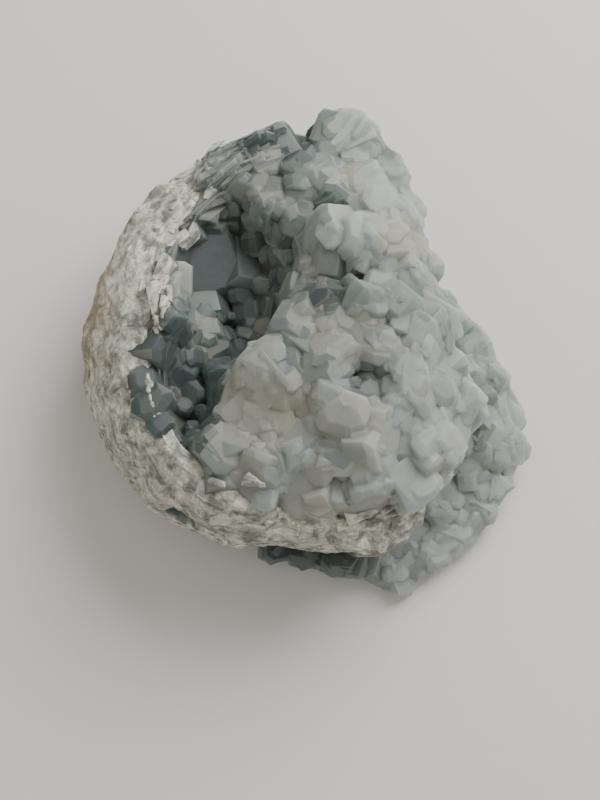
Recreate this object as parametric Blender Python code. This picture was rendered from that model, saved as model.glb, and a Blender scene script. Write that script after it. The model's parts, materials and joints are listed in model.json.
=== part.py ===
"""Celestite crystal cluster: a broken piece of a geode, lying on its flat cut.

Two solids: the pale rounded rind of the geode, and the crust of blocky celestite crystals that
grew on it. The crust is one body, because its crystals are grown together. Lengths in the tables
are millimetres, and MM turns them to the metres of the model. +X is right and +Y is away.
"""
import math
import random

import bmesh
import bpy
from mathutils import Matrix, Vector, noise
from mathutils.bvhtree import BVHTree

MM = 0.001

# Driving dimensions
GAP = 0.3               # between the rind and the crust
SHORTEST_EDGE = 0.003   # shorter edges are closed up
RIND_CENTRE = (-8.0, 2.0)
CORE_CENTRE = (4.0, 2.0)
SKIRT_CENTRE = (20.0, -20.0)
CUT_BELOW = 20.0        # thickness of the block that cuts the flat base
ORIGIN = (1.545, 1.124)    # plan point that becomes the origin

# Radii and heights of the three lumps, every 20 degrees from +X round by +Y. A lump goes through
# its levels from the bottom pole to the top pole.
STEP = 20
RIND_BASE = (22, 22, 24, 28, 34, 38, 37, 36, 35, 35, 35, 34, 32, 30, 28, 28, 26, 22)
RIND_BULGE = (34, 34, 36, 42, 50, 55, 52, 49.4, 47.6, 47.4, 47.6, 48.6, 50.0, 51, 52.5, 60.5, 52, 36)
RIND_BULGE_HEIGHT = (20, 20, 20, 20, 24, 24, 22, 21, 20, 20, 20, 21, 24, 29, 33, 34, 34, 25)
RIND_CREST = (28, 28, 30, 34, 40, 44, 40, 35.5, 31.5, 29.5, 30, 35, 40, 42, 45, 52, 44, 30)
RIND_CREST_HEIGHT = (34, 34, 34, 36, 38, 41, 43, 45, 47, 48, 49, 50, 50, 49, 47, 43, 40, 34)

CORE_LOW = (31, 30, 32, 38, 38, 34, 31, 29, 28, 27, 27, 28, 31, 34, 37, 40, 38, 34)
CORE_LOW_HEIGHT = (-4, -4, -4, -4, 0, 6, 10, 12, 12, 12, 12, 11, 8, 2, -4, -4, -4, -4)
CORE_WALL = (31, 29, 33, 43, 46, 43.5, 42, 41, 39, 37.5, 38.3, 41.5, 44.5, 43.8, 45.5, 46, 41, 34)
CORE_SHOULDER_HEIGHT = (44, 42, 40, 38, 40, 42, 44, 46, 48, 49, 50, 50.5, 50.5, 49.5, 48, 45, 46, 46)
CORE_DOME_HEIGHT = (55, 54, 51, 48, 47, 46, 47, 49, 50, 51, 52, 53, 54, 55, 55.5, 56, 56, 56)

SKIRT_WALL = (33.5, 34, 36.5, 37, 28, 26, 26, 26, 28, 30, 33, 36, 33, 30.5, 34, 31.5, 30, 31.5)
SKIRT_SHOULDER_HEIGHT = (15, 15, 15, 16, 16, 14, 14, 14, 14, 12, 11, 11, 10, 9, 8, 8, 9, 12)

# Hollows sunk in the crust: centre, half sizes
HOLLOWS = (
    ((-15.5, 14, 53), (16, 26, 27)),     # main pocket
    ((-24.5, -13, 52), (8, 16, 17)),     # its tail along the rim
    ((-14.5, 4, 28), (5, 3.5, 8)),       # deep hole in its floor
    ((15.3, -15.5, 61), (6, 5, 8)),      # eye of the rosette
    ((43, -13, 21), (4, 12, 8)),         # groove between the mass and the skirt
)

# Crystals set by hand: tip x, y, z, the way it leans, lean from upright, width, depth, length,
# twist, and how much of the width and depth is left flat at the tip
POCKET_CRYSTALS = (
    (-23.9, 21.0, 36.5, 330, 8, 19, 17, 14, 20, 0.85, 0.85),
    (-13.0, 23.5, 34.0, 30, 30, 11, 15, 12, 0, 0.5, 0.8),
    (-23.5, 11.0, 37.0, 60, 20, 14, 7, 12, 12, 0.5, 0.85),
    (-22.5, 4.0, 39.0, 50, 24, 11, 5, 12, 14, 0.5, 0.85),
    (-28.0, -1.5, 38.5, 20, 25, 9, 9, 12, 30, 0.3, 0.5),
    (-29.5, -14.5, 41.0, 20, 30, 8, 9, 12, 50, 0.3, 0.5),
    (-25.0, -25.5, 42.0, 60, 30, 9, 8, 12, 15, 0.3, 0.6),
    (-20.3, -14.6, 44.0, 180, 18, 6, 15, 14, 5, 0.4, 0.85),
    (-4.5, 21.0, 42.0, 200, 25, 11, 10, 13, 35, 0.2, 0.5),
    (-4.0, 9.5, 41.0, 190, 30, 9, 9, 12, 10, 0.4, 0.6),
    (-8.5, 33.5, 41.0, 250, 30, 12, 9, 13, 20, 0.5, 0.7),
    (-19.0, 35.0, 40.0, 280, 30, 9, 8, 12, 0, 0.2, 0.6),
    (-26.5, 27.5, 41.0, 320, 30, 8, 9, 10, 30, 0.5, 0.5),
    (-9.0, -4.5, 38.0, 160, 25, 10, 8, 12, 40, 0.3, 0.6),
)
NOTCH_CRYSTALS = (
    (-7.4, 48.4, 46.0, 95, 10, 15, 13, 24, 28, 0.85, 0.8),
    (-17.5, 47.0, 43.5, 110, 16, 15, 10, 20, 20, 0.8, 0.75),
    (-0.5, 42.5, 48.0, 80, 15, 9, 10, 15, 24, 0.3, 0.6),
    (11.0, 52.6, 45.5, 88, 10, 16, 12.5, 24, 342, 0.85, 0.8),
    (5.6, 48.5, 44.0, 95, 14, 9, 10, 18, 350, 0.6, 0.6),
    (18.4, 51.5, 42.5, 60, 30, 8, 9, 18, 20, 0.5, 0.6),
    (22.6, 46.5, 43.0, 50, 32, 11, 10, 18, 38, 0.4, 0.5),
)
COLUMN_CRYSTALS = (
    (8.1, 31.0, 54.5, 240, 15, 11, 11, 13, 45, 0.1, 0.1),
    (7.3, 16.5, 57.5, 250, 22, 11, 16, 15, 350, 0.4, 0.7),
    (14.5, 18.0, 59.5, 280, 10, 9, 13, 13, 10, 0.3, 0.6),
    (22.3, 21.0, 55.5, 20, 22, 12, 14, 13, 15, 0.5, 0.6),
    (27.5, 30.8, 47.5, 25, 40, 10, 10, 12, 30, 0.3, 0.5),
    (29.0, 13.3, 50.5, 10, 40, 10, 9, 12, 5, 0.4, 0.5),
    (3.3, 4.3, 55.5, 235, 18, 12, 11, 13, 25, 0.6, 0.6),
    (14.0, 4.5, 60.0, 90, 8, 10, 9, 12, 15, 0.4, 0.6),
    (23.5, 4.0, 58.0, 30, 18, 10, 10, 12, 40, 0.3, 0.5),
    (14.5, 39.5, 49.5, 90, 25, 12, 10, 14, 10, 0.4, 0.6),
    (19.5, 31.0, 53.0, 40, 20, 11, 10, 13, 30, 0.5, 0.5),
    (2.5, 38.0, 49.5, 200, 20, 10, 9, 13, 15, 0.3, 0.5),
)
MOUND_CRYSTALS = (
    (-14.5, -15.3, 51.5, 130, 15, 9, 9, 12, 30, 0.4, 0.6),
    (-9.5, -23.5, 55.5, 180, 10, 12, 11, 13, 10, 0.6, 0.6),
    (-15.5, -28.5, 54.0, 200, 18, 10, 9, 13, 35, 0.4, 0.5),
    (-19.0, -36.0, 51.0, 230, 15, 10, 8, 12, 10, 0.5, 0.6),
    (-1.0, -31.5, 56.5, 270, 10, 10, 9, 12, 20, 0.4, 0.6),
    (7.5, -33.5, 56.5, 275, 12, 9, 8, 12, 0, 0.6, 0.6),
    (15.0, -31.0, 60.0, 300, 8, 8, 9, 12, 25, 0.5, 0.5),
    (16.5, -38.5, 54.5, 280, 20, 11, 9, 13, 10, 0.4, 0.6),
    (32.0, -29.5, 54.0, 330, 30, 13, 13, 14, 25, 0.6, 0.6),
    (28.0, -40.0, 50.5, 305, 30, 8, 8, 12, 30, 0.3, 0.3),
    (37.0, -20.0, 46.0, 350, 45, 10, 11, 12, 10, 0.4, 0.6),
    (35.0, -7.5, 49.0, 0, 42, 10, 10, 12, 20, 0.4, 0.5),
    (5.5, -41.0, 51.0, 270, 20, 10, 8, 12, 15, 0.5, 0.6),
    (-7.0, -38.5, 51.5, 265, 18, 10, 8, 12, 30, 0.5, 0.6),
)
SKIRT_CRYSTALS = (
    (54.8, -29.8, 9.5, 350, 72, 13, 10, 16, 92, 0.05, 0.4),
    (50.0, -13.0, 19.5, 350, 35, 13, 12, 14, 20, 0.6, 0.6),
    (52.0, -2.8, 18.0, 15, 45, 10, 10, 13, 0, 0.5, 0.5),
    (42.0, -2.0, 24.5, 30, 20, 9, 9, 14, 30, 0.5, 0.5),
    (41.0, -12.0, 22.0, 200, 10, 7, 7, 12, 10, 0.4, 0.4),
    (46.8, 7.5, 19.0, 30, 42, 10, 10, 13, 40, 0.5, 0.5),
    (40.5, 14.0, 20.5, 50, 42, 10, 9, 13, 15, 0.4, 0.5),
    (55.5, -19.0, 13.0, 355, 65, 9, 9, 12, 30, 0.5, 0.5),
    (49.5, -37.5, 8.5, 320, 65, 10, 9, 13, 15, 0.3, 0.5),
    (43.0, -44.0, 8.0, 310, 62, 9, 9, 12, 35, 0.3, 0.5),
    (35.5, -50.0, 6.5, 300, 68, 10, 8, 12, 20, 0.4, 0.5),
    (26.9, -57.0, 4.0, 285, 74, 10, 8, 13, 80, 0.1, 0.5),
    (18.5, -53.2, 6.0, 270, 66, 9, 8, 11, 25, 0.3, 0.5),
    (10.5, -51.8, 8.0, 265, 60, 10, 8, 12, 0, 0.5, 0.6),
    (0.5, -50.0, 9.0, 255, 62, 9, 8, 12, 30, 0.4, 0.5),
    (-7.5, -48.0, 9.5, 245, 62, 9, 8, 12, 10, 0.4, 0.5),
)
# The rosette is a ring of pale blocks round its eye
ROSETTE_CENTRE = (15.3, -15.5)
ROSETTE_RADIUS = (10.5, 9.5)
ROSETTE_COUNT = 8
ROSETTE_HEIGHT = 60.5
ROSETTE_SIZE = (9.5, 12.0, 12.0)
ROSETTE_LEAN = 14.0
ROSETTE_TWIST = 12.0
ROSETTE_FLAT = (0.5, 0.6)
ROSETTE_FALL = 1.2      # how much lower the ring is on its far side
ROSETTE_WAVE = 0.6

# Smaller crystals strewn over what is left of the crust
STREWN_SEED = 3
STREWN_TRIES = 7000
STREWN_SPACING = 7.4
STREWN_WIDTH = (8.0, 11.5)
STREWN_STANDS_OUT = (1.6, 4.0)
STREWN_LEAN = 26.0
STREWN_LOWEST = 2.5
STREWN_OVERHANG = -0.45  # how far down a surface may look and still bear a crystal
STREWN_DEPTH = (0.75, 1.2)         # depth of a crystal, of its width
STREWN_FLAT_WIDTH = (0.1, 0.7)
STREWN_FLAT_DEPTH = (0.3, 0.8)
REACH_OF_SET = 0.36     # room kept round the tip of a crystal set by hand, of its width and depth
SEEN_ACROSS = (-62, 62)  # the lines of sight that find the open surface pass through this block
SEEN_HEIGHT = (0, 60)

BEVELLED_ABOVE = 11.6   # width of a crystal whose upright edges have bevels
PRISM_CUT = 0.82        # where the bevels cut the prism's edges, 1 being at the edge itself
ROOT = 4.0              # how far a crystal's block goes on below its stated length
ROOT_SHARE = 0.4        # most that this is of the length
TIP_SLOPES = (52, 58)   # slopes of the tip's faces across and along, from level
FAR_FROM_RIM = 100.0    # distance given for places where no rim is
GROUND_SIZE = 240.0
SHARPEST = 0.4          # least cosine that a grown sharp edge counts with
RIM_FROM = 100          # azimuths between which the rind's rim runs along the crust
RIM_TO = 305
RIM_MARGIN = 2.2        # how far strewn crystals keep inside the rim
RIM_BAND = 11.0         # strip along the rim where they are small, being rooted in a thin wall
RIM_SHRINK = 0.75
CELL_SIZE = 5.0         # width and depth of the jogs in the crust's body
CELL_DEPTH = -2.4
RIND_MESH = (40, 18)    # segments and rings
NOISE_SIZE = 11.0       # width of the rind's bumps
NOISE_DEPTH = 0.9
RIDGE_STEP = 5.0        # height between the worn growth ledges of the rind
RIDGE_DEPTH = 0.35

RIND_COLOUR = (0.54, 0.52, 0.44, 1.0)
CRYSTAL_COLOUR = (0.30, 0.37, 0.36, 1.0)


def around(table, azimuth):
    """Value of a closed table at an azimuth in radians, by a smooth curve through its entries."""
    place = math.degrees(azimuth) % 360 / STEP
    i = int(place)
    t = place - i
    a, b, c, d = (table[(i + k) % len(table)] for k in (-1, 0, 1, 2))
    return b + 0.5 * t * (c - a + t * (2 * a - 5 * b + 4 * c - d + t * (3 * (b - c) + d - a)))


def along(values, share):
    """Value of an open list at a share of its length, by the same curve."""
    place = share * (len(values) - 1)
    i = min(int(place), len(values) - 2)
    t = place - i
    a, b, c, d = (values[min(max(i + k, 0), len(values) - 1)] for k in (-1, 0, 1, 2))
    return b + 0.5 * t * (c - a + t * (2 * a - 5 * b + 4 * c - d + t * (3 * (b - c) + d - a)))


def lump(centre, levels, segments, rings, grow=0.0, relief=None):
    """A sphere pulled through levels of (radius, height) that depend on the azimuth."""
    bm = bmesh.new()
    bmesh.ops.create_uvsphere(bm, u_segments=segments, v_segments=rings, radius=1.0)
    for vert in bm.verts:
        azimuth = math.atan2(vert.co.y, vert.co.x)
        share = math.acos(max(-1.0, min(1.0, -vert.co.z))) / math.pi
        stations = levels(azimuth)
        radius = max(0.0, along([s[0] for s in stations], share))
        if share < 0.001 or share > 0.999:
            radius = 0.0
        height = along([s[1] for s in stations], share)
        if relief:
            radius += relief(azimuth, radius, height)
        vert.co = Vector((centre[0] + radius * math.cos(azimuth),
                          centre[1] + radius * math.sin(azimuth), height))
    bmesh.ops.triangulate(bm, faces=bm.faces, quad_method="FIXED")
    bmesh.ops.recalc_face_normals(bm, faces=bm.faces)
    bm.normal_update()
    if grow:
        steps = []
        for vert in bm.verts:
            # A vertex on a sharp edge moves further, so that each of its faces moves by the whole amount
            steepest = min(vert.normal.dot(face.normal) for face in vert.link_faces)
            steps.append(vert.normal * grow / max(steepest, SHARPEST))
        for vert, step in zip(bm.verts, steps):
            vert.co += step
    return finished(bm)


def finished(bm):
    """Mesh data in metres from a bmesh in millimetres."""
    bmesh.ops.recalc_face_normals(bm, faces=bm.faces)
    bmesh.ops.scale(bm, vec=(MM, MM, MM), verts=bm.verts)
    mesh = bpy.data.meshes.new("shape")
    bm.to_mesh(mesh)
    bm.free()
    return mesh


def rind_levels(azimuth):
    bulge = around(RIND_BULGE, azimuth)
    bulge_height = around(RIND_BULGE_HEIGHT, azimuth)
    base = around(RIND_BASE, azimuth)
    crest = around(RIND_CREST, azimuth)
    crest_height = around(RIND_CREST_HEIGHT, azimuth)
    return (
        (0, -4), (base * 0.6, -4), (base, -4),
        (base + 0.72 * (bulge - base), 0.32 * bulge_height - 1),
        (bulge, bulge_height),
        (bulge - 0.28 * (bulge - crest), bulge_height + 0.62 * (crest_height - bulge_height)),
        (crest, crest_height),
        (crest * 0.8, crest_height - 7), (crest * 0.55, crest_height - 26), (crest * 0.3, 12), (0, 10),
    )


def rind_relief(azimuth, radius, height):
    if radius < 5:
        return 0.0
    x = radius * math.cos(azimuth)
    y = radius * math.sin(azimuth)
    bump = noise.noise(Vector((x, y, height)) / NOISE_SIZE) * NOISE_DEPTH * 2
    ledge = math.sin(2 * math.pi * (height / RIDGE_STEP + 0.4 * bump)) * RIDGE_DEPTH
    return bump + ledge


def core_levels(azimuth):
    wall = around(CORE_WALL, azimuth)
    low = around(CORE_LOW, azimuth)
    low_height = around(CORE_LOW_HEIGHT, azimuth)
    shoulder = around(CORE_SHOULDER_HEIGHT, azimuth)
    return (
        (0, -4), (low * 0.6, low_height * 0.7 - 1.2), (low, low_height),
        (low + 0.65 * (wall - low), low_height + 0.3 * (shoulder - low_height)),
        (wall, low_height + 0.7 * (shoulder - low_height)),
        (wall * 0.985, shoulder),
        (wall * 0.62, around(CORE_DOME_HEIGHT, azimuth)), (0, 57),
    )


def broken_relief(azimuth, radius, height):
    """Jogs as large as a crystal face, which break up the body that the crystals stand on."""
    place = Vector((radius * math.cos(azimuth), radius * math.sin(azimuth), height))
    return noise.cell(place / CELL_SIZE) * CELL_DEPTH if radius > 3 else 0.0


def skirt_levels(azimuth):
    wall = around(SKIRT_WALL, azimuth)
    shoulder = around(SKIRT_SHOULDER_HEIGHT, azimuth)
    return (
        (0, -4), (wall * 0.9, -4), (wall, 0.42 * shoulder),
        (wall * 0.88, shoulder), (wall * 0.55, shoulder + 2), (0, 18),
    )


def core(grow=0.0):
    return lump(CORE_CENTRE, core_levels, 32, 14, grow, broken_relief)


def skirt(grow=0.0):
    return lump(SKIRT_CENTRE, skirt_levels, 28, 10, grow, broken_relief)


def hollow(centre, half_sizes):
    bm = bmesh.new()
    bmesh.ops.create_uvsphere(bm, u_segments=18, v_segments=10, radius=1.0)
    bmesh.ops.scale(bm, vec=half_sizes, verts=bm.verts)
    bmesh.ops.translate(bm, vec=centre, verts=bm.verts)
    return finished(bm)


def block(size, centre):
    bm = bmesh.new()
    bmesh.ops.create_cube(bm, size=1.0)
    bmesh.ops.scale(bm, vec=size, verts=bm.verts)
    bmesh.ops.translate(bm, vec=centre, verts=bm.verts)
    return finished(bm)


def trim(bm, normal, distance):
    """Cut off what lies past a plane and close the cut with a face."""
    normal = Vector(normal).normalized()
    geometry = list(bm.verts) + list(bm.edges) + list(bm.faces)
    cut = bmesh.ops.bisect_plane(bm, geom=geometry, dist=1e-6, plane_co=normal * distance,
                                 plane_no=normal, clear_outer=True)
    edges = [item for item in cut["geom_cut"] if isinstance(item, bmesh.types.BMEdge)]
    if len(edges) > 2:
        bmesh.ops.contextual_create(bm, geom=edges)


def crystal(spec, grow=0.0):
    """A celestite crystal: a block with a chisel tip of four faces, and bevels if it is wide."""
    x, y, z, towards, lean, width, depth, length, twist, flat_width, flat_depth = spec
    bm = bmesh.new()
    bmesh.ops.create_cube(bm, size=1.0)
    tall = length + min(ROOT, ROOT_SHARE * length) + 2 * grow
    bmesh.ops.scale(bm, vec=(width + 2 * grow, depth + 2 * grow, tall), verts=bm.verts)
    bmesh.ops.translate(bm, vec=(0, 0, grow - tall / 2), verts=bm.verts)
    for side in (1, -1):
        if width > BEVELLED_ABOVE:
            for other in (1, -1):
                reach = PRISM_CUT * width * depth / math.hypot(width, depth)
                trim(bm, (side * depth, other * width, 0), reach + grow)
        slope = math.radians(TIP_SLOPES[0])
        normal = (side * math.sin(slope), 0, math.cos(slope))
        trim(bm, normal, flat_width * width / 2 * math.sin(slope) + grow)
        slope = math.radians(TIP_SLOPES[1])
        normal = (0, side * math.sin(slope), math.cos(slope))
        trim(bm, normal, flat_depth * depth / 2 * math.sin(slope) + grow)
    turn = (Matrix.Translation((x, y, z))
            @ Matrix.Rotation(math.radians(towards), 4, "Z")
            @ Matrix.Rotation(math.radians(lean), 4, "Y")
            @ Matrix.Rotation(math.radians(twist - towards), 4, "Z"))
    bmesh.ops.transform(bm, matrix=turn, verts=bm.verts)
    return finished(bm)


def crystals(specs, grow=0.0):
    return [crystal(spec, grow) for spec in specs]


def rosette():
    """Specs of the ring of blocks round the eye."""
    specs = []
    for i in range(ROSETTE_COUNT):
        azimuth = 2 * math.pi * i / ROSETTE_COUNT
        x = ROSETTE_CENTRE[0] + ROSETTE_RADIUS[0] * math.cos(azimuth)
        y = ROSETTE_CENTRE[1] + ROSETTE_RADIUS[1] * math.sin(azimuth)
        z = ROSETTE_HEIGHT - ROSETTE_FALL * math.cos(azimuth) + ROSETTE_WAVE * math.cos(3 * azimuth)
        width, depth, length = ROSETTE_SIZE
        twist = math.degrees(azimuth) + ROSETTE_TWIST * math.sin(5 * i)
        specs.append((x, y, z, math.degrees(azimuth), ROSETTE_LEAN, width, depth, length, twist,
                      *ROSETTE_FLAT))
    return specs


def inside_rim(point):
    """How far a point lies inside the rim in plan, where the rind runs along the crust."""
    x = point.x - CORE_CENTRE[0]
    y = point.y - CORE_CENTRE[1]
    azimuth = math.atan2(y, x)
    if not RIM_FROM < math.degrees(azimuth) % 360 < RIM_TO:
        return FAR_FROM_RIM
    return around(CORE_WALL, azimuth) - math.hypot(x, y)


def open_surface(crust_tree, room_tree, rng):
    """Point and normal where a random line of sight from above or the side first meets the crust.

    Nothing is given back where the rind stands in the way."""
    away = Vector((rng.gauss(0, 1), rng.gauss(0, 1), abs(rng.gauss(0, 1)))).normalized()
    aim = Vector((rng.uniform(*SEEN_ACROSS), rng.uniform(*SEEN_ACROSS), rng.uniform(*SEEN_HEIGHT)))
    eye = (aim + away * 2 * SEEN_ACROSS[1]) * MM
    point, normal, _, distance = crust_tree.ray_cast(eye, -away)
    hidden_at = room_tree.ray_cast(eye, -away)[3]
    if point is None or (hidden_at is not None and hidden_at < distance):
        return None, None
    return point / MM, normal


def strewn(crust_tree, room_tree, taken):
    """Specs of smaller crystals on the open surface of the crust, clear of those set by hand."""
    rng = random.Random(STREWN_SEED)
    points = [Vector(spec[:3]) for spec in taken]
    reach = [REACH_OF_SET * (spec[5] + spec[6]) for spec in taken]
    specs = []
    for _ in range(STREWN_TRIES):
        point, normal = open_surface(crust_tree, room_tree, rng)
        if point is None or point.z < STREWN_LOWEST or normal.z < STREWN_OVERHANG:
            continue
        rim_distance = inside_rim(point)
        if rim_distance < RIM_MARGIN:
            continue
        small = RIM_SHRINK if rim_distance < RIM_BAND else 1.0
        spacing = STREWN_SPACING * small ** 0.5
        stands_out = rng.uniform(*STREWN_STANDS_OUT)
        tip = point + normal * stands_out
        if any((tip - p).length < max(spacing, small * r) for p, r in zip(points, reach)):
            continue
        size = small * rng.uniform(*STREWN_WIDTH)
        lean = math.degrees(normal.angle((0, 0, 1))) + rng.uniform(-STREWN_LEAN, STREWN_LEAN)
        towards = math.degrees(math.atan2(normal.y, normal.x)) + rng.uniform(-STREWN_LEAN, STREWN_LEAN)
        specs.append((*tip, towards, lean, size, size * rng.uniform(*STREWN_DEPTH), small * size,
                      rng.uniform(0, 90), rng.uniform(*STREWN_FLAT_WIDTH), rng.uniform(*STREWN_FLAT_DEPTH)))
        points.append(tip)
        reach.append(spacing)
    return specs


def combine(target, meshes, operation):
    """Join meshes to an object, or cut them from it, in one Boolean.

    Each mesh is an operand of its own, so that crystals which cross each other are joined too. The
    exact solver leaves open edges in such a pile, and the manifold solver doesn't."""
    tools = bpy.data.collections.new("Boolean tools")
    for mesh in meshes:
        tool = bpy.data.objects.new("tool", mesh)
        tool.hide_render = True
        tool.display_type = "WIRE"
        tools.objects.link(tool)
    modifier = target.modifiers.new(operation.title(), "BOOLEAN")
    modifier.operation = operation
    modifier.operand_type = "COLLECTION"
    modifier.collection = tools
    modifier.solver = "MANIFOLD"
    evaluated = target.evaluated_get(bpy.context.evaluated_depsgraph_get())
    result = bpy.data.meshes.new_from_object(evaluated)
    target.modifiers.clear()
    target.data = result
    for tool in list(tools.objects):
        bpy.data.objects.remove(tool)
    bpy.data.collections.remove(tools)


def clean(target):
    """Clear what a Boolean leaves: tiny edges, corners in the middle of a straight edge, which
    would make triangles without area, and crumbs and cavities beside the main skin."""
    bm = bmesh.new()
    bm.from_mesh(target.data)
    bmesh.ops.dissolve_degenerate(bm, edges=bm.edges, dist=SHORTEST_EDGE * MM)
    idle = [vert for vert in bm.verts if len(vert.link_edges) == 2]
    bmesh.ops.dissolve_verts(bm, verts=idle)
    bmesh.ops.triangulate(bm, faces=bm.faces)
    left = set(bm.faces)
    skins = []
    while left:
        skin = []
        waiting = [left.pop()]
        while waiting:
            face = waiting.pop()
            skin.append(face)
            for edge in face.edges:
                for other in edge.link_faces:
                    if other in left:
                        left.discard(other)
                        waiting.append(other)
        skins.append(skin)
    skins.sort(key=len)
    for skin in skins[:-1]:
        bmesh.ops.delete(bm, geom=skin, context="FACES")
    bm.to_mesh(target.data)
    bm.free()


def stone_material(name, colour, roughness):
    material = bpy.data.materials.new(name)
    material.use_nodes = True
    shader = material.node_tree.nodes["Principled BSDF"]
    shader.inputs["Base Color"].default_value = colour
    shader.inputs["Roughness"].default_value = roughness
    shader.inputs["Metallic"].default_value = 0.0
    material.diffuse_color = colour
    return material


def new_object(name, mesh, collection):
    piece = bpy.data.objects.new(name, mesh)
    collection.objects.link(piece)
    return piece


def finish_piece(piece, material):
    clean(piece)
    piece.data.transform(Matrix.Translation((-ORIGIN[0] * MM, -ORIGIN[1] * MM, 0)))
    piece.data.materials.clear()
    piece.data.materials.append(material)


def main():
    for old in list(bpy.data.objects):
        bpy.data.objects.remove(old)
    collection = bpy.data.collections.new("celestite crystal cluster")
    bpy.context.scene.collection.children.link(collection)

    ground = block((GROUND_SIZE, GROUND_SIZE, CUT_BELOW), (0, 0, -CUT_BELOW / 2))
    rind = new_object("matrix_rind", lump(RIND_CENTRE, rind_levels, *RIND_MESH, relief=rind_relief),
                      collection)
    crust = new_object("crystal_crust", core(), collection)

    combine(crust, [skirt()], "UNION")
    combine(crust, [hollow(*sizes) for sizes in HOLLOWS], "DIFFERENCE")

    # The rind's rounded body with the gap round it. No crystal goes into it, but for those at the notch
    room = new_object("room of the rind", lump(RIND_CENTRE, rind_levels, *RIND_MESH, GAP, rind_relief),
                      collection)
    depsgraph = bpy.context.evaluated_depsgraph_get()
    crust_tree = BVHTree.FromObject(crust, depsgraph)
    room_tree = BVHTree.FromObject(room, depsgraph)
    grown = [*POCKET_CRYSTALS, *COLUMN_CRYSTALS, *MOUND_CRYSTALS, *SKIRT_CRYSTALS, *rosette()]
    grown += strewn(crust_tree, room_tree, [*NOTCH_CRYSTALS, *grown])
    first, *others = crystals(grown)
    druse = new_object("druse", first, collection)
    combine(druse, others, "UNION")
    combine(druse, [room.data], "DIFFERENCE")
    combine(crust, [druse.data, *crystals(NOTCH_CRYSTALS)], "UNION")
    combine(crust, [ground.copy()], "DIFFERENCE")
    combine(rind, [core(GAP), skirt(GAP), *crystals(NOTCH_CRYSTALS, GAP), ground], "DIFFERENCE")
    for helper in (room, druse):
        bpy.data.objects.remove(helper)

    finish_piece(rind, stone_material("pale weathered matrix", RIND_COLOUR, 0.9))
    finish_piece(crust, stone_material("celestite", CRYSTAL_COLOUR, 0.3))


main()
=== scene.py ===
"""Celestite crystal cluster: the looks of the specimen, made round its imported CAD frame.

The druse of blue-grey celestite starts from the CAD crust, and Geometry Nodes grow a few thousand
smaller crystals on it. The weathered rind starts from the CAD rind, which is remeshed and worn.
Lengths in the script are millimetres, and MM turns them to the metres of the frame.
"""
import json
import math

import bmesh
import bpy
from bpy.props import FloatProperty, FloatVectorProperty, IntProperty, PointerProperty
from bpy.types import Operator, Panel, PropertyGroup
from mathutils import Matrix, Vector, noise
from mathutils.bvhtree import BVHTree

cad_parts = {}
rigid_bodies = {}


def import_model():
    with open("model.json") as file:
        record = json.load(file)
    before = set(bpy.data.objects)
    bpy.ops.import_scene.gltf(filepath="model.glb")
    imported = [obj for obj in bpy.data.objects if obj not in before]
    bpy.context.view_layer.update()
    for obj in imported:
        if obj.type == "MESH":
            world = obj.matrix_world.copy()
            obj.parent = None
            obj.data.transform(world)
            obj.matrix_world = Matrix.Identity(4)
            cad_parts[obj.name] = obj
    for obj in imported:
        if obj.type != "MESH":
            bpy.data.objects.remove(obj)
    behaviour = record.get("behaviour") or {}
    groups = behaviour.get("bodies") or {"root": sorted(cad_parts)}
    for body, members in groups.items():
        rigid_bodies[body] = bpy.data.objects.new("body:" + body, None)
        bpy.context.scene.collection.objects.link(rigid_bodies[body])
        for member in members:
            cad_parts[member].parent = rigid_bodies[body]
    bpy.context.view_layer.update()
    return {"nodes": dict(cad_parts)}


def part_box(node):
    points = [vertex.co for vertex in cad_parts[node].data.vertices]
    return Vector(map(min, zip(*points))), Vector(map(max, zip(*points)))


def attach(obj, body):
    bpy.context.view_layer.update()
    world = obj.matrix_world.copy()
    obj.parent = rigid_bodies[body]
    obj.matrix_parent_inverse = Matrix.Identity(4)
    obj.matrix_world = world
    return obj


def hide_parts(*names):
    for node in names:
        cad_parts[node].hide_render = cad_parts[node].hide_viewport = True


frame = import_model()

bl_info = {
    "name": "Celestite crystal cluster",
    "version": (1, 0, 0),
    "blender": (4, 5, 0),
    "location": "3D View > Sidebar > Celestite",
    "description": "Grows the druse and wears the rind of a celestite hand specimen",
    "category": "Add Mesh",
}

MM = 0.001
CELESTITE = "Celestite, grown and etched"
CORE_AXIS = Vector((2.5, 0.9, 0.0))     # upright axis that the rind curves round
RIND_START = 30.0                       # azimuth on the side without rind, where its flow begins
HIDDEN_REACH = 2.6                      # a face with the rind this close before it isn't seen
SKIN_CELL = 1.1                         # mesh cells of the skin that crystals grow on
BASE_MARGIN = 1.2                       # height above the flat cut up to which nothing grows
JOIN_WITHIN = 0.0001                    # corners of a CAD mesh that are this close are one
SMALL_BIAS = 1.6                        # above 1, most grown crystals are small and few are large
FREE_TURN = 12                          # how much more a crystal turns round itself than it leans

# Crystal kinds that are grown, one unit wide: depth, flat share of the tip across and along, slopes of
# the roof across, along and at the corners in degrees, and how lopsided it is
CRYSTAL_KINDS = (
    (0.85, 0.50, 0.55, 22, 28, 26, 0.25),
    (1.00, 0.60, 0.35, 18, 24, 30, -0.20),
    (0.70, 0.65, 0.60, 28, 22, 20, 0.40),
    (0.92, 0.30, 0.60, 18, 32, 26, 0.10),
    (0.80, 0.75, 0.45, 32, 18, 22, -0.35),
    (1.05, 0.45, 0.75, 24, 26, 34, 0.30),
)

CRYSTAL_HEIGHT = 1.1                    # height of a crystal kind, most of it sunk in the crust
SKEW_SLOPES = (18, 22, 16)              # degrees that skew adds to the slopes across, along, at the corners
CORNER_CUT = 0.46                       # how far out the roof is cut at its corners, of the half diagonal
EDGE_CUT = 0.80                         # how far out the upright edges are cut, of the half diagonal
EDGE_SKEW = 0.12                        # how much skew moves that cut

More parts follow.
